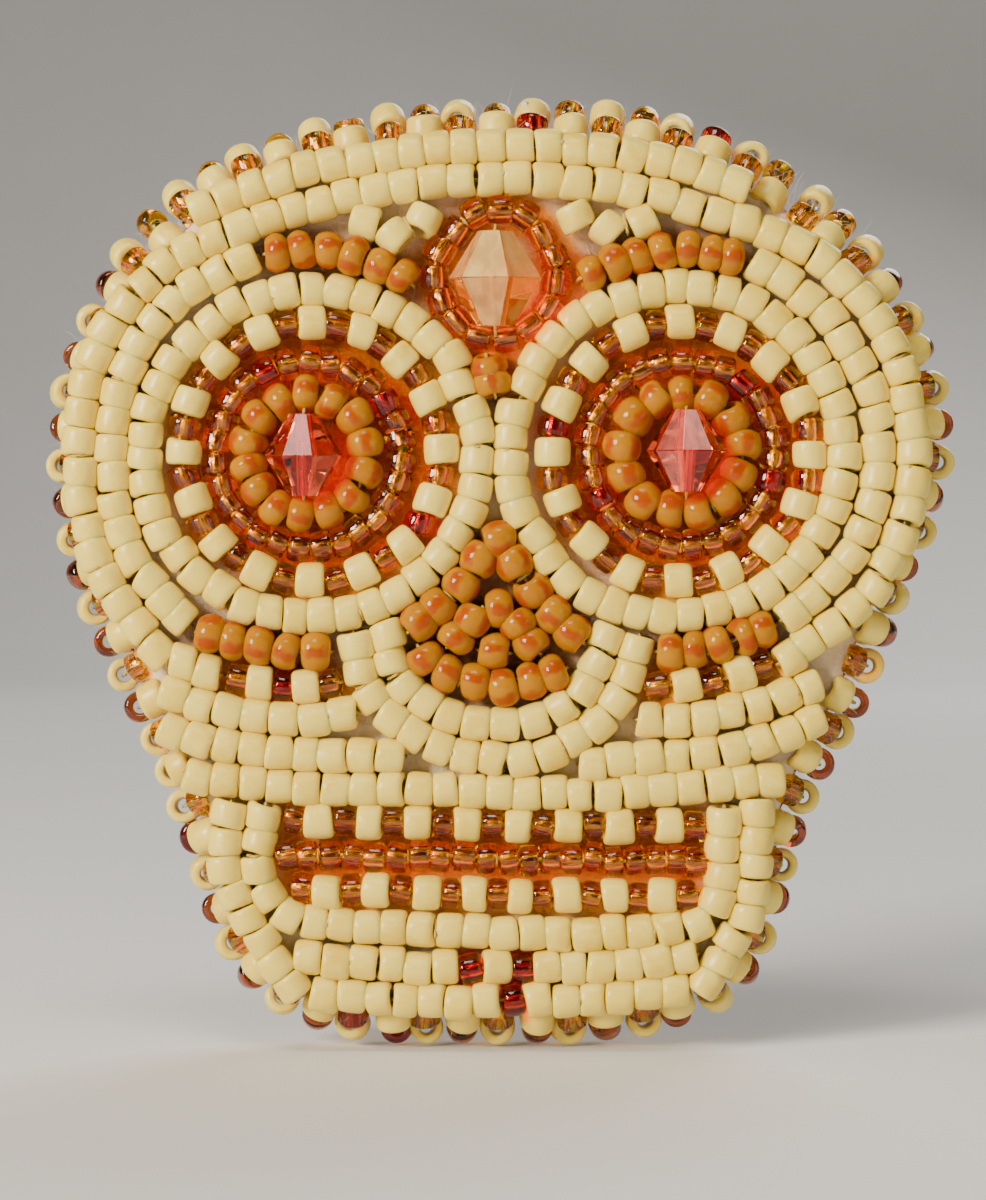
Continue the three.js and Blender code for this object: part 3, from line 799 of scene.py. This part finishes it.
def nickel_material():
    s = Shader("nickel_plated_steel")
    brushed = s.noise(2600.0, 4.0, at=s.place((0.08, 1, 1)))
    stain = s.noise(260.0, 4.0)
    colour = s.mix(s.band(stain, 0.35, 0.7), (0.64, 0.62, 0.58), (0.56, 0.53, 0.48))
    rough = s.band(brushed, 0.3, 0.7, 0.16, 0.32)
    normal = s.bump(brushed, 0.12, 0.00002)
    return s.solid(Base_Color=colour, Metallic=1.0, Roughness=rough, Normal=normal)


def thread_material(name, shade, light):
    s = Shader(name)
    parts = s.add("SeparateXYZ", {0: s.value_of("strand_place", 1)}).node.outputs
    turn = s.math("ADD", s.math("MULTIPLY", parts[0], 14.0), s.math("MULTIPLY", parts[1], 3.0))
    twist = s.math("SINE", turn)
    fuzz = s.noise(6000.0, 3.0)
    colour = s.mix(s.band(twist, -1.0, 0.6), shade, light)
    normal = s.bump(fuzz, 0.3, 0.00002, s.bump(twist, 0.6, 0.00003))
    return s.solid(Base_Color=colour, Roughness=0.6, Normal=normal)


def stage_material(name, low, high):
    s = Shader(name)
    mottle = s.noise(40.0, 4.0)
    return s.solid(Base_Color=s.mix(mottle, low, high), Roughness=0.85)


cream, yellow = cream_material(), yellow_material()
lining = lining_material()
amber = glass_material("amber_glass", (0.93, 0.43, 0.0), (0.89, 0.35, 0.0), (0.96, 0.66, 0.04))
red = glass_material("red_glass", (0.76, 0.045, 0.0), (0.66, 0.028, 0.0), (0.90, 0.22, 0.03))
brown = glass_material("brown_glass", (0.42, 0.09, 0.02), (0.32, 0.055, 0.018), (0.65, 0.3, 0.14))
wine = glass_material("wine_glass", (0.22, 0.012, 0.016), (0.18, 0.01, 0.014), (0.5, 0.12, 0.12))
# Each crystal's second and third glass paint a reflection of the lamps on the facets that face them; on the
# peach crystal they also stand for its pearly coating.
coral = [
    crystal_material("coral_crystal_glass", (0.74, 0.075, 0.02), (0.74, 0.16, 0.01)),
    crystal_material("coral_crystal_sheen", (0.80, 0.12, 0.06), (0.74, 0.16, 0.01), (0.66, 0.16, 0.12), 0.35),
    crystal_material("coral_crystal_bright", (0.86, 0.18, 0.12), (0.74, 0.16, 0.01), (0.66, 0.27, 0.23), 0.65),
]
peach = [
    crystal_material("peach_crystal_glass", (0.92, 0.34, 0.01), (0.97, 0.6, 0.2)),
    crystal_material("peach_crystal_sheen", (0.95, 0.50, 0.18), (0.97, 0.6, 0.2), (0.56, 0.29, 0.09), 0.75),
    crystal_material("peach_crystal_pearl", (0.95, 0.66, 0.40), (0.97, 0.6, 0.2), (0.60, 0.38, 0.11), 0.90),
]
felt, fibre = felt_material(), fibre_material()
leather, card = leather_material(), card_material()
nickel = nickel_material()
thread = thread_material("beading_thread", (0.60, 0.55, 0.44), (0.86, 0.83, 0.75))
row_thread = thread_material("waxed_beading_thread", (0.42, 0.27, 0.05), (0.76, 0.54, 0.12))
BEAD_MATERIALS = {
    "c": [cream],
    "a": [amber, lining],
    "r": [red, lining],
    "y": [yellow],
    "b": [brown],
    "w": [wine],
}


# ---- bead pieces ----
def make_bead_pieces():
    groups = {}
    for bead in beads:
        groups.setdefault(bead["node"], {}).setdefault(bead["kind"], []).append(bead)
    for node, by_kind in groups.items():
        for kind, chosen in by_kind.items():
            piece = bead_piece(f"{node}_{KINDS[kind]['name']}_beads", chosen, BEAD_MATERIALS[kind])
            slot = "edging_beads" if node.startswith("edging") else SLOTS[kind]
            finish_piece(piece, "brooch", slot, node)


make_bead_pieces()


# ---- layers ----
# The share of a layer's radius where its innermost ring of vertices lies.
POLE = 0.0005


def outline_of(name):
    """A layer's outline as a function of direction: distance from the middle, in mm."""
    points = node_points(name)
    flat = points[:, [0, 2]]
    far = np.linalg.norm(flat, axis=1)
    turn = np.arctan2(flat[:, 1], flat[:, 0])
    keep = far > 0.45 * far.max()
    order = np.argsort(turn[keep])
    turn, far = turn[keep][order], far[keep][order]
    turn = np.concatenate([turn[-1:] - 2 * np.pi, turn, turn[:1] + 2 * np.pi])
    far = np.concatenate([far[-1:], far, far[:1]])
    return lambda a: np.interp(a, turn, far)


def layer_piece(name, node, inset, round_off, material, rings, around, bulge=0.0, tint=None):
    """A sheet with a hand-cut edge: rounded over round_off at the front, and a little at the back."""
    low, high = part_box(node)
    front, back = low.y / MM, high.y / MM
    reach = outline_of(node)
    turn = -np.pi + 2 * np.pi * (np.arange(around) + 0.5) / around
    edge = reach(turn) - inset
    edge = edge + rng.normal(0, 0.05, around)
    edge = (edge + np.roll(edge, 1) + np.roll(edge, -1)) / 3
    rows = []
    for share in np.linspace(POLE, 1, rings):
        rows.append((share * (edge - round_off), front))
    for t in np.linspace(0, 1, 7)[1:]:
        a = t * np.pi / 2
        rows.append((edge - round_off + round_off * np.sin(a), front + round_off * (1 - np.cos(a))))
    small = min(0.15, (back - front) * 0.3)
    for t in np.linspace(0, 1, 4):
        a = t * np.pi / 2
        rows.append((edge - small + small * np.cos(a), back - small + small * np.sin(a)))
    for share in np.linspace(1, POLE, rings // 2)[1:]:
        rows.append((share * (edge - small), back))
    verts = []
    for far, depth in rows:
        verts.append(np.column_stack([far * np.cos(turn), np.full(around, depth), far * np.sin(turn)]))
    verts = np.vstack(verts)
    if bulge:
        wave = np.zeros(len(verts))
        for _ in range(14):
            k = rng.normal(0, 1.6, 2)
            wave += np.sin(verts[:, 0] * k[0] + verts[:, 2] * k[1] + rng.random() * 6.28)
        verts[:, 1] += bulge * wave / 4 * (verts[:, 1] < front + 0.3)
    quads = ring_quads(len(rows), around)
    attributes = None
    if tint is not None:
        attributes = {"amber_near": tint(verts)}
    return mesh_object(name, verts, quads, [material], attributes=attributes)


lit_beads = np.array([b["centre"] for b in face_beads if b["kind"] in "ary"])
eye_gems = np.array([sum(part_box(f"eye_crystal_{side}"), Vector()) / 2 / MM for side in ("left", "right")])
plain_beads = np.array([b["centre"] for b in face_beads if b["kind"] == "c"])


def amber_near(verts):
    """How much coloured light the lined beads, the yellow beads and the eye crystals throw on each place of
    the felt, 0 to 1, painted into the felt's colour.
    """
    near = np.zeros(len(verts))
    for start in range(0, len(verts), 4000):
        spot = verts[start : start + 4000, None, :]
        flat = np.linalg.norm((spot - lit_beads[None])[..., [0, 2]], axis=2)
        pale = np.linalg.norm((spot - plain_beads[None])[..., [0, 2]], axis=2)
        gem = np.linalg.norm((spot - eye_gems[None])[..., [0, 2]], axis=2)
        glow = np.exp(-((flat / 1.0) ** 2)).sum(axis=1) + 3 * np.exp(-((gem / 6.3) ** 12)).sum(axis=1)
        damp = np.exp(-((pale / 1.0) ** 2)).sum(axis=1)
        near[start : start + 4000] = glow / (glow + 0.3 * damp + 0.25)
    return np.clip(near * 1.4 - 0.2, 0, 1)


felt_piece = layer_piece(
    "felt_ground", "foundation_felt", 0.12, 0.55, felt, 110, 420, bulge=0.06, tint=amber_near
)
finish_piece(felt_piece, "brooch", "felt", "foundation_felt")
card_piece = layer_piece("stiffener_card_sheet", "stiffener", 0.0, 0.05, card, 8, 200)
finish_piece(card_piece, "brooch", "stiffener", "stiffener")
leather_piece = layer_piece("leather_back_sheet", "leather_backing", 0.1, 0.15, leather, 30, 300)
finish_piece(leather_piece, "brooch", "leather", "leather_backing")


# ---- felt fibres ----
def fibre_paths():
    centres = np.array([b["centre"][[0, 2]] for b in face_beads])
    reach = outline_of("foundation_felt")
    paths = []
    while len(paths) < SURFACE_FIBRES:
        a = rng.uniform(-math.pi, math.pi)
        far = math.sqrt(rng.random()) * reach(a)
        spot = np.array([far * math.cos(a), far * math.sin(a)])
        if np.linalg.norm(centres - spot, axis=1).min() < FIBRE_CLEARANCE:
            continue
        if amber_near(np.array([[spot[0], felt_front, spot[1]]]))[0] > FIBRE_AMBER_LIMIT:
            continue
        way = rng.uniform(0, 2 * math.pi)
        place = np.array([spot[0], felt_front - 0.02, spot[1]])
        path = [place]
        lift = rng.uniform(0.02, 0.09)
        for i in range(FIBRE_KNOTS):
            way += rng.normal(0, 0.5)
            step = rng.uniform(0.12, 0.24)
            rise = lift if i < 3 else -lift
            place = place + np.array([math.cos(way) * step, -rise, math.sin(way) * step])
            path.append(place)
        paths.append(smooth_path(path, 2))
    return paths


def rim_fibre_paths():
    paths = []
    for _ in range(EDGE_FIBRES):
        s = rng.uniform(0, edge_line.length)
        x, z = edge_line.at(s)
        tx, tz = edge_line.along(s)
        out = np.array([-tz, tx])
        top = upness(z)
        start = np.array([x, rng.uniform(felt_front + 0.1, felt_front + 1.1), z])
        start = start - np.array([out[0], 0, out[1]]) * 0.9
        way = np.array([out[0], rng.normal(0, 0.35), out[1]]) + np.array([tx, 0, tz]) * rng.normal(0, 0.5)
        way /= np.linalg.norm(way)
        long = rng.uniform(0.9, 1.7) + top * rng.uniform(0, 1.1)
        if rng.random() < 0.03:
            long += rng.uniform(0.4, 1.2)
        path = [start]
        for _ in range(FIBRE_KNOTS):
            way = way + rng.normal(0, 0.22, 3)
            way /= np.linalg.norm(way)
            path.append(path[-1] + way * long / FIBRE_KNOTS)
        paths.append(smooth_path(path, 2))
    return paths


fuzz = tube_piece("felt_surface_fibres", fibre_paths(), SURFACE_FIBRE_RADIUS, fibre, sides=4, taper=True)
finish_piece(fuzz, "brooch", "felt")
rim_fuzz = tube_piece("felt_edge_fibres", rim_fibre_paths(), EDGE_FIBRE_RADIUS, fibre, sides=4, taper=True)
finish_piece(rim_fuzz, "brooch", "felt")


# ---- thread ----
def thread_piece(name, paths, radius, material, *replaced, sides=8):
    tube = tube_piece(name, paths, radius, material, sides)
    return finish_piece(tube, "brooch", "thread", *replaced)


def strand_threads():
    """The thread through each strand, down into the felt at its ends, and the couching stitches over it."""
    stringing, couching = [], []
    for name in STRINGS:
        row = [b for b in face_beads if b["node"] == name]
        places = [b["centre"] for b in row]
        if lines[name].closed:
            route = places + places[:1]
        else:
            head = row[0]["centre"] - row[0]["axis"] * (row[0]["length"] / 2 - 0.02)
            tail = row[-1]["centre"] + row[-1]["axis"] * (row[-1]["length"] / 2 - 0.02)
            sink = np.array([0, felt_front + 0.3 - head[1], 0])
            down = [head + sink - row[0]["axis"] * 0.15, head]
            up = [tail, tail + sink + row[-1]["axis"] * 0.15]
            route = down + places + up
        stringing.append(smooth_path(route, 6))
        for i in range(2, len(row), 4):
            a, b = row[i - 1], row[i]
            middle = (a["centre"] + b["centre"]) / 2
            way = b["centre"] - a["centre"]
            way /= np.linalg.norm(way)
            across = np.cross(way, [0, 1, 0])
            across /= np.linalg.norm(across)
            plain = a["kind"] == "c" and b["kind"] == "c"
            r = KINDS[a["kind"]]["radius"] * (0.6 if plain else 0.4)
            crest = KINDS[a["kind"]]["radius"] * (0.93 if plain and rng.random() < 0.45 else 0.4) - r
            aside = rng.normal(0, 0.25)
            loop = []
            for turn in np.linspace(-0.62 * math.pi, 0.62 * math.pi, 25):
                out = r + max(crest, 0) * math.exp(-(((turn - aside) / 0.2) ** 2))
                over = np.array([0, -out * math.cos(turn), 0])
                loop.append(middle + across * out * math.sin(turn) + over)
            couching.append(np.array(loop))
    return stringing, couching


stringing, couching = strand_threads()
thread_piece("stringing_threads", stringing, STRINGING_RADIUS, row_thread)
thread_piece("couching_stitches", couching, COUCHING_RADIUS, row_thread)


def edging_threads():
    paths = []
    for front, rim, back, out in stitches:
        # Each place on the way: beside which bead, how far outward and how far back, in mm.
        knots = [(front, -0.95, 0.75), (front, -0.62, 0.15), (front, 0, 0), (front, 0.55, 0.42)]
        knots += [(rim, 0, -0.3), (rim, 0, 0.5), (back, 0.6, -0.3), (back, 0, 0)]
        knots += [(back, -0.75, 0.1), (back, -1.05, -0.9)]
        route = [at + np.array([out[0] * far, deep, out[1] * far]) for at, far, deep in knots]
        paths.append(smooth_path(route, 5))
    return paths


thread_piece("edging_threads", edging_threads(), EDGING_RADIUS, row_thread)


def thread_end():
    """The short cut end of thread that stands up behind the crown."""
    x, z = 1.05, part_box("edging_rim")[1].z / MM
    steps = ((-0.15, 1.4, -2.2), (0.0, 1.3, -0.9), (0.1, 1.1, -0.3), (0.14, 0.95, 0.12))
    return smooth_path([(x + right, felt_front + behind, z + up) for right, behind, up in steps])


thread_piece("cut_thread_end", [thread_end()], CUT_END_RADIUS, thread, sides=12)


# ---- crystals and metalwork: the CAD solids with softened edges ----
def soften_edges(mesh, width, segments):
    work = bmesh.new()
    work.from_mesh(mesh)
    bmesh.ops.remove_doubles(work, verts=work.verts, dist=0.000002)
    bmesh.ops.dissolve_limit(
        work, angle_limit=math.radians(1.0), verts=work.verts, edges=work.edges, delimit={"MATERIAL"}
    )
    inner = [e for e in work.edges if len(e.link_faces) == 2]
    sharp = [e for e in inner if e.calc_face_angle(0) > math.radians(22)]
    bmesh.ops.bevel(
        work, geom=sharp, offset=width * MM, segments=segments, profile=0.6, affect="EDGES", clamp_overlap=True
    )
    work.to_mesh(mesh)
    work.free()


def softened(name, node, material, width, segments):
    """A copy of a CAD solid with its sharp edges rounded."""
    mesh = nodes[node].data.copy()
    mesh.name = name
    soften_edges(mesh, width, segments)
    mesh.materials.clear()
    mesh.materials.append(material)
    mesh.shade_smooth()
    mesh.set_sharp_from_angle(angle=math.radians(35))
    piece = bpy.data.objects.new(name, mesh)
    bpy.context.scene.collection.objects.link(piece)
    return piece


def crystal_piece(name, node, sides, turn, tip, materials, facets):
    """A bicone turned about its thread and tipped, both in degrees. A facet's material goes by its
    half (top or bottom) and how far round from the front its middle is, in degrees, + to the right,
    so that a painted reflection goes on the facets that face the lamps."""
    low, high = (np.array(c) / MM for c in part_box(node))
    middle, half = (low + high) / 2, (high - low) / 2
    flat = CRYSTAL_FLAT * half[0]
    wide = half[0] / math.cos(math.pi / CAD_CRYSTAL_SIDES)
    end = half[2]
    profile = [(-end, CRYSTAL_HOLE), (-end, flat), (0, wide), (end, flat), (end, CRYSTAL_HOLE)]
    corners = math.radians(turn) + 2 * np.pi * (np.arange(sides) + 0.5) / sides
    verts = [(out * math.sin(a), -out * math.cos(a), up) for up, out in profile for a in corners]
    lean = Matrix.Rotation(math.radians(tip), 3, "X")
    verts = [np.array(lean @ Vector(v)) + middle for v in verts]
    slots = []
    for row in range(len(profile)):
        for side in range(sides):
            round_from_front = (turn + 360 * (side + 1) / sides + 180) % 360 - 180
            slots.append(facets({1: "bottom", 2: "top"}.get(row, "end"), round_from_front))
    gem = mesh_object(name, verts, ring_quads(len(profile), sides), materials, slots)
    soften_edges(gem.data, 0.03, 1)
    gem.data.shade_flat()
    return gem


# 0 is clear glass; 1 and 2 paint a reflection of the lamps, 2 the stronger one, on the facets that face them.
def left_eye_facets(half, away):
    if half == "bottom":
        return 1 if 20 < away < 60 else 0
    return 1 if half == "end" or abs(away) < 20 else 0


def right_eye_facets(half, away):
    if half == "bottom":
        return 1 if -60 < away < 0 else 0
    return 2 if half == "end" or 0 < away < 40 else (1 if -40 < away < 0 else 0)


def forehead_facets(half, away):
    if half == "bottom":
        return 1 if abs(away) < 30 else 0
    return 2 if half == "end" or abs(away) < 30 else 1


# Each crystal's node and slot, its sides, its turn and tip in degrees, its glasses and its facets.
CRYSTALS = (
    ("eye_crystal_left", "coral_crystal", 8, -6, 4, coral, left_eye_facets),
    ("eye_crystal_right", "coral_crystal", 8, 14, 2, coral, right_eye_facets),
    ("forehead_crystal", "peach_crystal", 6, -14, 4, peach, forehead_facets),
)
for node, slot, *cut in CRYSTALS:
    finish_piece(crystal_piece(f"{node}_cut", node, *cut), "brooch", slot, node)


def crystal_threads():
    """The thread from each crystal's two hole mouths down into the felt."""
    paths = []
    for node, *_ in CRYSTALS:
        low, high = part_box(node)
        x, y = (low.x + high.x) / 2 / MM, (low.y + high.y) / 2 / MM
        for end, way in ((low.z / MM, -1), (high.z / MM, 1)):
            route = [
                (x, y, end - way * 0.5),
                (x, y + 0.25, end + way * 0.1),
                (x + 0.03, y + 0.8, end + way * 0.4),
                (x, felt_front + 0.2, end + way * 0.5),
            ]
            paths.append(smooth_path(route))
    return paths


thread_piece("crystal_threads", crystal_threads(), CRYSTAL_THREAD_RADIUS, row_thread, sides=10)

# Each metal piece's node and body, and its edges' rounding in mm and in segments.
for node, body, width, segments in (
    ("pin_bar", "brooch", 0.09, 3),
    ("hinge_rivet", "brooch", 0.1, 3),
    ("pin_stem", "pin_stem", 0.05, 2),
    ("catch_sleeve", "catch_sleeve", 0.07, 2),
):
    finish_piece(softened(f"{node}_plated", node, nickel, width, segments), body, "steel", node)


def bar_stitch(node, name):
    """Four passes of thread over each edge of the bar and through its hole."""
    low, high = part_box(node)
    x = (low.x + high.x) / 2 / MM
    middle = (low.z + high.z) / 2 / MM
    half = (high.z - low.z) / 2 / MM
    top = high.y / MM
    paths = []
    for side in (-1, 1):
        for k in range(4):
            shift = (k - 1.5) * 0.19 + rng.normal(0, 0.02)
            rise = rng.uniform(-0.03, 0.05)
            route = [
                (x + shift * 1.7, -0.15, middle + side * (half + 0.05)),
                (x + shift * 1.5, top * 0.55, middle + side * half),
                (x + shift * 1.2, top - 0.1 + rise, middle + side * (half - 0.35)),
                (x + shift, top - 0.06 + rise, middle + side * (half * 0.62)),
                (x + shift * 0.8, top - 0.12 + rise, middle + side * 0.75),
                (x + shift * 0.6, top * 0.55, middle + side * (0.36 + 0.04 * k)),
                (x + shift * 0.4, 0.06, middle + side * (0.24 + 0.05 * k)),
                (x + shift * 0.3, -0.2, middle + side * 0.2),
            ]
            paths.append(smooth_path(np.array(route), 6))
    thread_piece(name, paths, BAR_THREAD_RADIUS, thread, node)


for i in (1, 2, 3):
    bar_stitch(f"bar_stitch_{i}", f"bar_stitch_{i}_threads")


# ---- stage ----
def stage():
    floor_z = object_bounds()[0].z - 0.00002
    back, front, half, bend = 1.0, -1.6, 2.2, 0.35
    profile = [(front, floor_z)]
    for t in np.linspace(0, math.pi / 2, 24):
        profile.append((back - bend + bend * math.sin(t), floor_z + bend * (1 - math.cos(t))))
    profile.append((back, 1.8))
    verts = [(x / MM, y / MM, z / MM) for y, z in profile for x in (-half, half)]
    quads = [[2 * i, 2 * i + 1, 2 * i + 3, 2 * i + 2] for i in range(len(profile) - 1)]
    pale = stage_material("pale_card", (0.78, 0.77, 0.75), (0.82, 0.81, 0.79))
    sweep = mesh_object("pale_sweep", verts, quads, [pale], closed=False)
    sweep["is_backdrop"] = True


stage()

world = bpy.data.worlds.new("studio")
world.use_nodes = True
background = world.node_tree.nodes["Background"].inputs
background["Color"].default_value = (1.0, 0.97, 0.93, 1)
background["Strength"].default_value = 0.08
bpy.context.scene.world = world


def softbox(name, place, size, watts, colour):
    light = bpy.data.lights.new(name, "AREA")
    light.shape = "RECTANGLE"
    light.size, light.size_y = size
    light.energy = watts
    light.color = colour
    lamp = bpy.data.objects.new(name, light)
    lamp.location = place
    lamp.rotation_euler = (-Vector(place)).to_track_quat("-Z", "Y").to_euler()
    bpy.context.scene.collection.objects.link(lamp)


# Each softbox aims at the brooch: its place and size in metres, its watts and its colour.
for lamp in (
    ("window_left", (-0.27, -0.27, 0.13), (0.13, 0.13), 2.6, (1.0, 0.93, 0.82)),
    ("high_front", (-0.05, -0.28, 0.50), (0.22, 0.16), 1.05, (1.0, 0.94, 0.86)),
    ("fill_right", (0.55, -0.45, 0.05), (0.40, 0.50), 0.85, (1.0, 0.94, 0.86)),
    ("behind", (0.30, 0.60, 0.50), (0.50, 0.50), 4.0, (1.0, 0.98, 0.95)),
):
    softbox(*lamp)

camera_data = bpy.data.cameras.new("photo_view")
camera_data.lens = 90
camera_data.sensor_width = 36
camera_data.clip_start = 0.005
camera = bpy.data.objects.new("photo_view", camera_data)
camera.location = (-0.00045, -0.1534, -0.0014)
camera.rotation_euler = (math.radians(90), 0, 0)
bpy.context.scene.collection.objects.link(camera)
bpy.context.scene.camera = camera
